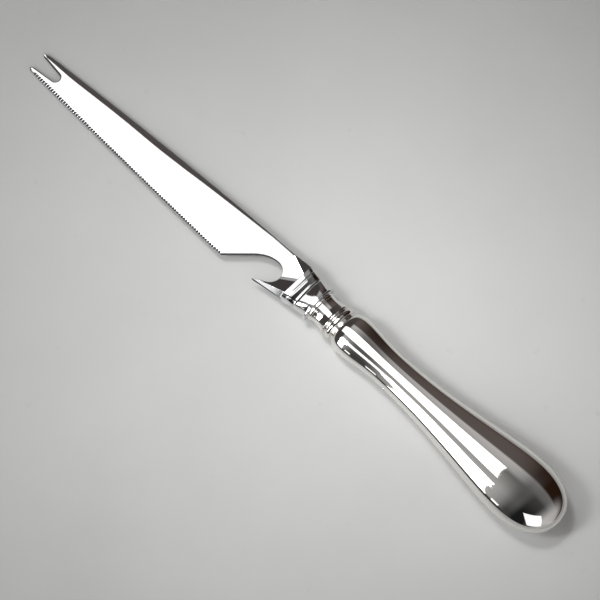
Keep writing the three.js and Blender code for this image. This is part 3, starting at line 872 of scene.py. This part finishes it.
class NodeSheet:
    # one node tree; add() is the way in for every node
    def __init__(self, owner):
        owner.use_nodes = True
        self.nodes = owner.node_tree.nodes
        self.links = owner.node_tree.links
        self.nodes.clear()

    def add(self, kind, settings=None, sockets=None, output=0):
        node = self.nodes.new(kind)
        for name, value in (settings or {}).items():
            if name == "stops":
                self.setStops(node.color_ramp, value)
            else:
                setattr(node, name, value)
        for name, value in (sockets or {}).items():
            if isinstance(value, Wire):
                self.links.new(value.socket, node.inputs[name])
            else:
                node.inputs[name].default_value = value
        return Wire(self, node.outputs[output]) if len(node.outputs) else node

    def setStops(self, ramp, stops):
        while len(ramp.elements) < len(stops):
            ramp.elements.new(1.0)
        for element, (place, colour) in zip(ramp.elements, stops):
            element.position = place
            element.color = colour

    def mark(self, name):
        return self.add("ShaderNodeAttribute", {"attribute_name": name}, output=2)

    def stretched(self, scale, turn=0.0):
        # Object coordinates turned about z and scaled, in cycles per metre
        place = self.add("ShaderNodeTexCoord", output=3)
        sockets = {"Vector": place, "Rotation": (0, 0, turn), "Scale": scale}
        return self.add("ShaderNodeMapping", {}, sockets)

    def noise(self, where, detail, roughness):
        sockets = {"Vector": where, "Scale": 1.0, "Detail": detail, "Roughness": roughness}
        return self.add("ShaderNodeTexNoise", {}, sockets)

    def above(self, value, low, high):
        # 0 under low and 1 over high, eased between
        sockets = {"Value": value, "From Min": low, "From Max": high}
        return self.add("ShaderNodeMapRange", {"interpolation_type": "SMOOTHSTEP"}, sockets)

    def blend(self, factor, first, second):
        return self.add("ShaderNodeMix", {"data_type": "RGBA"}, {0: factor, 6: first, 7: second}, output=2)

    def patches(self, grain, turn=0.0):
        # noise on stretched coordinates, 0 where it is under the span and 1 where it is over it
        where = self.stretched(grain["scale"], turn)
        return self.above(self.noise(where, *grain["noise"]), *grain["span"])

    def bump(self, depth, height):
        sockets = {"Strength": depth[0], "Distance": depth[1], "Height": height}
        return self.add("ShaderNodeBump", {}, sockets)

    def surface(self, sockets):
        shader = self.add("ShaderNodeBsdfPrincipled", {}, sockets)
        self.add("ShaderNodeOutputMaterial", {}, {"Surface": shader})


# scales in cycles per metre; noise as detail and roughness
metalGrain = {
    "smudge": {"scale": (70, 110, 110), "noise": (4.0, 0.55), "span": (0.45, 0.75)},
    "hair": {"scale": (22, 5200, 5200), "noise": (2.0, 0.4), "span": (0.62, 0.78)},
    "cross": {"scale": (30, 4100, 4100), "noise": (2.0, 0.4), "span": (0.7, 0.82)},
    "grime": {"scale": (900, 900, 900), "noise": (3.0, 0.55), "span": (0.25, 0.7)},
    "crossTurn": 0.7,  # of the second hairlines against the first
    "crossShare": 0.7,
    "crossDepth": 0.6,
    "bump": (0.12, 0.00001),
    # shares of the colours: wear lightens rubbed edges, partly as a painted highlight; ground darkens
    # ground faces as painted shade
    "tone": {"smudge": 0.35, "wear": 0.5, "ground": 0.9},
    "rough": {"grime": 0.16, "wear": 0.05, "ground": 0.5},
}


def polishedMetal(name, look):
    # a mirror metal: faint smudges and hairlines in its roughness, dull creases, rubbed edges that also
    # carry a painted highlight, and ground faces rougher and darkened as painted shade
    material = bpy.data.materials.new(name)
    sheet = NodeSheet(material)
    grain = metalGrain
    share = grain["tone"]
    smudge = sheet.patches(grain["smudge"])
    hair = sheet.patches(grain["hair"], look["lineTurn"])
    cross = sheet.patches(grain["cross"], look["lineTurn"] + grain["crossTurn"])
    wear = sheet.mark("wear")
    grime = sheet.mark("grime") * sheet.patches(grain["grime"])
    ground = sheet.mark("ground")
    tone = sheet.blend(smudge * share["smudge"], look["colour"], look["smudged"])
    tone = sheet.blend(grime * look["grime"], tone, look["tarnish"])
    # rubbed edges are lightened, partly real wear and partly a painted highlight
    tone = sheet.blend(wear * share["wear"], tone, look["rubbedAndHighlight"])
    # ground faces are rougher, and are darkened nearly to black as painted shade
    tone = sheet.blend(ground * share["ground"], tone, look["ground"])
    rough = look["polish"] + look["smear"] * smudge
    rough = rough + look["hairline"] * hair + look["hairline"] * grain["crossShare"] * cross
    for kind, mark in (("grime", grime), ("wear", wear), ("ground", ground)):
        rough = rough + grain["rough"][kind] * mark
    height = (hair + cross * grain["crossDepth"]) * look["scratch"]
    sheet.surface({
        "Base Color": tone,
        "Metallic": 1.0,
        "Roughness": rough,
        "Normal": sheet.bump(grain["bump"], 1.0 - height),
    })
    return material


bladeLook = {
    "colour": (0.74, 0.745, 0.75, 1),
    "smudged": (0.69, 0.69, 0.69, 1),
    "tarnish": (0.3, 0.28, 0.26, 1),
    # rubbed edges are lighter, partly a painted highlight
    "rubbedAndHighlight": (0.8, 0.8, 0.8, 1),
    # nearly black: the colour of ground faces is painted shade
    "ground": (0.035, 0.034, 0.033, 1),
    "polish": 0.05,
    "smear": 0.03,
    "hairline": 0.05,
    "scratch": 0.3,
    "grime": 0.4,
    "lineTurn": 0.03,
}
bolsterLook = dict(bladeLook, polish=0.045, lineTurn=1.55, grime=0.5)
silverLook = {
    "colour": (0.86, 0.845, 0.82, 1),
    "smudged": (0.8, 0.78, 0.75, 1),
    # rubbed edges are lighter, partly a painted highlight
    "tarnish": (0.3, 0.23, 0.17, 1),
    "rubbedAndHighlight": (0.9, 0.89, 0.87, 1),
    # colour of ground faces, painted shade; no silver piece carries that mark
    "ground": (0.5, 0.49, 0.47, 1),
    "polish": 0.03,
    "smear": 0.025,
    "hairline": 0.03,
    "scratch": 0.2,
    "grime": 0.55,
    "lineTurn": 0.0,
}
finishes = {
    "blade_steel": polishedMetal("mirror_blade_steel", bladeLook),
    "bolster_steel": polishedMetal("polished_bolster_steel", bolsterLook),
    "handle_silver": polishedMetal("polished_silver", silverLook),
}
for piece, node, slot in standIns:
    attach(piece, "root")
    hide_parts(node)
    piece.data.materials.append(finishes[slot])
print("pieces placed")

solderLook = {
    "scale": (900, 300, 300),
    "noise": (3.0, 0.55),
    "dark": (0.36, 0.35, 0.33, 1),
    "light": (0.5, 0.49, 0.46, 1),
    "bump": (0.5, 0.0001),
    "rough": (0.32, 0.2),
}
cementLook = {
    "grain": (1800, 1800, 1800),
    "cloud": (260, 260, 260),
    "noise": (4.0, 0.55),
    "dark": (0.11, 0.05, 0.028, 1),
    "light": (0.2, 0.105, 0.062, 1),
    "filler": (0.34, 0.24, 0.17, 1),
    "fillerSpan": (0.28, 0.12),
    "fillerShare": 0.4,
    "bump": (0.4, 0.0002),
    "rough": (0.7, 0.2),
}


def solderFinish():
    # grey solder with a rippled, slightly oxidised skin
    look = solderLook
    material = bpy.data.materials.new("rippled_solder")
    sheet = NodeSheet(material)
    ripple = sheet.noise(sheet.stretched(look["scale"]), *look["noise"])
    sheet.surface({
        "Base Color": sheet.blend(ripple, look["dark"], look["light"]),
        "Metallic": 1.0,
        "Roughness": look["rough"][0] + look["rough"][1] * ripple,
        "Normal": sheet.bump(look["bump"], ripple),
    })
    return material


def cementFinish():
    # brown resin cement with grains of filler
    look = cementLook
    material = bpy.data.materials.new("grainy_cement")
    sheet = NodeSheet(material)
    cells = {"Vector": sheet.stretched(look["grain"]), "Scale": 1.0}
    grain = sheet.add("ShaderNodeTexVoronoi", {}, cells)
    cloud = sheet.noise(sheet.stretched(look["cloud"]), *look["noise"])
    tone = sheet.blend(cloud, look["dark"], look["light"])
    filler = sheet.above(grain, *look["fillerSpan"]) * look["fillerShare"]
    sheet.surface({
        "Base Color": sheet.blend(filler, tone, look["filler"]),
        "Roughness": look["rough"][0] + look["rough"][1] * cloud,
        "Normal": sheet.bump(look["bump"], grain),
    })
    return material


for node, material in (("seam_solder", solderFinish()), ("cement_filling", cementFinish())):
    frame["nodes"][node].data.materials.clear()
    frame["nodes"][node].data.materials.append(material)
print("finishes done")


floorLook = {
    "halfSize": 4.0,
    "colour": (0.67, 0.675, 0.665, 1),
    "cloudy": (0.62, 0.625, 0.615, 1),
    "speckled": (0.5, 0.5, 0.49, 1),
    "speckShare": 0.25,
    "cloud": {"scale": (9, 9, 9), "noise": (5.0, 0.6), "span": (0.3, 0.75)},
    "speck": {"scale": (160, 160, 160), "noise": (2.0, 0.55), "span": (0.68, 0.8)},
    "roughness": 0.55,
}


def makeFloor():
    # one square sheet at the table's height, faintly clouded
    half = floorLook["halfSize"]
    mesh = bpy.data.meshes.new("floor")
    corners = [(-half, -half, 0), (half, -half, 0), (half, half, 0), (-half, half, 0)]
    mesh.from_pydata(corners, [], [(0, 1, 2, 3)])
    floor = bpy.data.objects.new("floor", mesh)
    bpy.context.scene.collection.objects.link(floor)
    material = bpy.data.materials.new("pale_floor")
    sheet = NodeSheet(material)
    look = floorLook
    tone = sheet.blend(sheet.patches(look["cloud"]), look["colour"], look["cloudy"])
    speck = sheet.patches(look["speck"]) * look["speckShare"]
    tone = sheet.blend(speck, tone, look["speckled"])
    sheet.surface({"Base Color": tone, "Roughness": look["roughness"]})
    mesh.materials.append(material)


makeFloor()


def hang(name, data, place, aim):
    # a lamp or the camera, put at a place and turned to look along the aim
    holder = bpy.data.objects.new(name, data)
    holder.location = place
    holder.rotation_euler = aim.to_track_quat("-Z", "Y").to_euler()
    bpy.context.scene.collection.objects.link(holder)
    return holder


softboxes = {
    "overhead": {
        "centre": (-0.1275, 0.0125, 0.25), "towards": (-0.1275, 0.0125, 0.0),
        "size": (0.285, 0.123), "radiance": 1.38,
    },
    "low": {
        "centre": (-0.31, -0.617, 0.517), "towards": (-0.31, 0.0, 0.008),
        "size": (0.23, 0.73), "radiance": 3.5,
    },
    "sliver": {
        "centre": (0.0135, -0.0567, 0.0942), "towards": (0.0135, -0.0037, 0.0094),
        "size": (0.031, 0.021), "radiance": 1.2,
    },
    "hook": {
        "centre": (-0.09, -0.752, 0.28), "towards": (-0.09, 0.0, 0.006),
        "size": (0.075, 0.12), "radiance": 1.25,
    },
    "window": {
        "centre": (0.39, -0.29, 0.308), "towards": (0.115, 0.0, 0.008),
        "size": (0.3, 0.42), "radiance": 1.15,
    },
}


def makeSoftbox(name, box):
    # a plain rectangle of light; its power is pi times area times how bright its face looks
    lamp = bpy.data.lights.new(name, "AREA")
    lamp.shape = "RECTANGLE"
    lamp.size = box["size"][0]
    lamp.size_y = box["size"][1]
    lamp.energy = math.pi * box["size"][0] * box["size"][1] * box["radiance"]
    aim = Vector(box["towards"]) - Vector(box["centre"])
    hang(name, lamp, box["centre"], aim).visible_camera = False


for name, box in softboxes.items():
    makeSoftbox(name, box)

pools = {
    "highPool": {"from": (-0.4, 0.015, 0.916), "power": 6.2},
    "sidePool": {"from": (-0.38, -0.57, 0.73), "power": 6.8},
}
poolShape = {"towards": (0.04, 0.015, 0.0), "distance": 0.65, "radius": 0.1, "cone": 25.0}


def makePool(name, pool):
    # a spot with a wide soft border, which lights the middle of the floor
    lamp = bpy.data.lights.new(name, "SPOT")
    lamp.energy = pool["power"]
    lamp.spot_size = math.radians(poolShape["cone"])
    lamp.spot_blend = 1.0
    lamp.shadow_soft_size = poolShape["radius"]
    back = Vector(pool["from"]).normalized()
    place = Vector(poolShape["towards"]) + back * poolShape["distance"]
    hang(name, lamp, place, -back).visible_camera = False


for name, pool in pools.items():
    makePool(name, pool)

# The room, by angle about the knife's length: 0 is straight up, 90 level on the spine's side. The bands
# change along the knife's length, from the fork's end of the room to the butt's end.
roomBands = {
    "forkEnd": [
        (-180, (0.1, 0.095, 0.09)),
        (-40, (0.06, 0.052, 0.05)),
        (40, (0.06, 0.052, 0.05)),
        (180, (0.1, 0.095, 0.09)),
    ],
    "middle": [
        (-180, (0.3, 0.3, 0.3)),
        (-98, (0.04, 0.04, 0.04)),
        (-76, (0.04, 0.04, 0.04)),
        (-70, (0.42, 0.415, 0.41)),
        (-24, (0.42, 0.415, 0.41)),
        (-16, (0.38, 0.375, 0.37)),
        (12, (0.15, 0.145, 0.14)),
        (20, (0.42, 0.41, 0.41)),
        (34, (0.5, 0.49, 0.49)),
        (38, (0.105, 0.09, 0.085)),
        (70, (0.105, 0.085, 0.078)),
        (84, (0.085, 0.06, 0.053)),
        (100, (0.085, 0.06, 0.053)),
        (180, (0.3, 0.3, 0.3)),
    ],
    "beyond": [
        (-180, (0.1, 0.1, 0.1)),
        (-98, (0.06, 0.06, 0.06)),
        (-60, (0.05, 0.05, 0.05)),
        (-24, (0.1, 0.1, 0.1)),
        (0, (0.09, 0.088, 0.088)),
        (14, (0.1, 0.1, 0.1)),
        (34, (0.19, 0.185, 0.185)),
        (39, (0.04, 0.034, 0.033)),
        (52, (0.034, 0.022, 0.018)),
        (100, (0.02, 0.01, 0.005)),
        (180, (0.1, 0.1, 0.1)),
    ],
    "opposite": [
        (-180, (0.08, 0.08, 0.08)),
        (-98, (0.01, 0.01, 0.01)),
        (-28, (0.012, 0.012, 0.012)),
        (10, (0.05, 0.05, 0.05)),
        (20, (0.12, 0.12, 0.12)),
        (34, (0.15, 0.147, 0.147)),
        (39, (0.02, 0.01, 0.006)),
        (100, (0.015, 0.008, 0.004)),
        (180, (0.08, 0.08, 0.08)),
    ],
    "buttEnd": [
        (-180, (0.3, 0.3, 0.3)),
        (-100, (0.35, 0.35, 0.35)),
        (-30, (0.55, 0.54, 0.54)),
        (0, (0.5, 0.49, 0.49)),
        (40, (0.42, 0.41, 0.41)),
        (62, (0.2, 0.19, 0.19)),
        (75, (0.06, 0.05, 0.05)),
        (100, (0.05, 0.04, 0.04)),
        (180, (0.3, 0.3, 0.3)),
    ],
}
roomLook = {
    "eased": [(-0.51, -0.43), (-0.36, -0.08), (-0.06, 0.1), (0.3, 0.8)],
    "horizon": (0.05, 0.03),
    "pale": (0.6, 0.6, 0.59, 1),
}


def makeRoom():
    # sets of bands, each eased into the next by how far a direction points along the knife
    world = bpy.data.worlds.new("studio_room")
    bpy.context.scene.world = world
    sheet = NodeSheet(world)
    look = sheet.add("ShaderNodeTexCoord", output=0)
    along = sheet.add("ShaderNodeSeparateXYZ", {}, {"Vector": look}, output=0)
    side = Wire(sheet, along.socket.node.outputs[1])
    up = Wire(sheet, along.socket.node.outputs[2])
    angle = side.math("ARCTAN2", side, up) / math.tau + 0.5
    bands = []
    for band in roomBands.values():
        stops = [((place + 180) / 360, (*colour, 1)) for place, colour in band]
        bands.append(sheet.add("ShaderNodeValToRGB", {"stops": stops}, {"Fac": angle}))
    tone = bands[0]
    for span, band in zip(roomLook["eased"], bands[1:]):
        tone = sheet.blend(sheet.above(along, *span), tone, band)
    tone = sheet.blend(sheet.above(up, *roomLook["horizon"]), tone, roomLook["pale"])
    shade = sheet.add("ShaderNodeBackground", {}, {"Color": tone, "Strength": 1.0})
    sheet.add("ShaderNodeOutputWorld", {}, {"Surface": shade})


makeRoom()

shot = {
    "azimuth": 44.6112,
    "elevation": 70.0,
    "distance": 1.30084,
    "target": (0.00436, -0.00197, -0.00011),
    "focalPixels": 3886.11,
    "imagePixels": 600,
    "sensorWidth": 36.0,
    "clipStart": 0.01,
}


def makeCamera():
    # looks at the table point under the middle of the picture
    turn = math.radians(shot["azimuth"])
    rise = math.radians(shot["elevation"])
    back = Vector((math.sin(turn) * math.cos(rise), -math.cos(turn) * math.cos(rise), math.sin(rise)))
    camera = bpy.data.cameras.new("camera")
    camera.sensor_width = shot["sensorWidth"]
    camera.lens = shot["focalPixels"] * camera.sensor_width / shot["imagePixels"]
    camera.clip_start = shot["clipStart"]
    place = Vector(shot["target"]) + back * shot["distance"]
    bpy.context.scene.camera = hang("camera", camera, place, -back)


makeCamera()
bpy.context.scene.view_settings.view_transform = "Standard"
print("stage set")
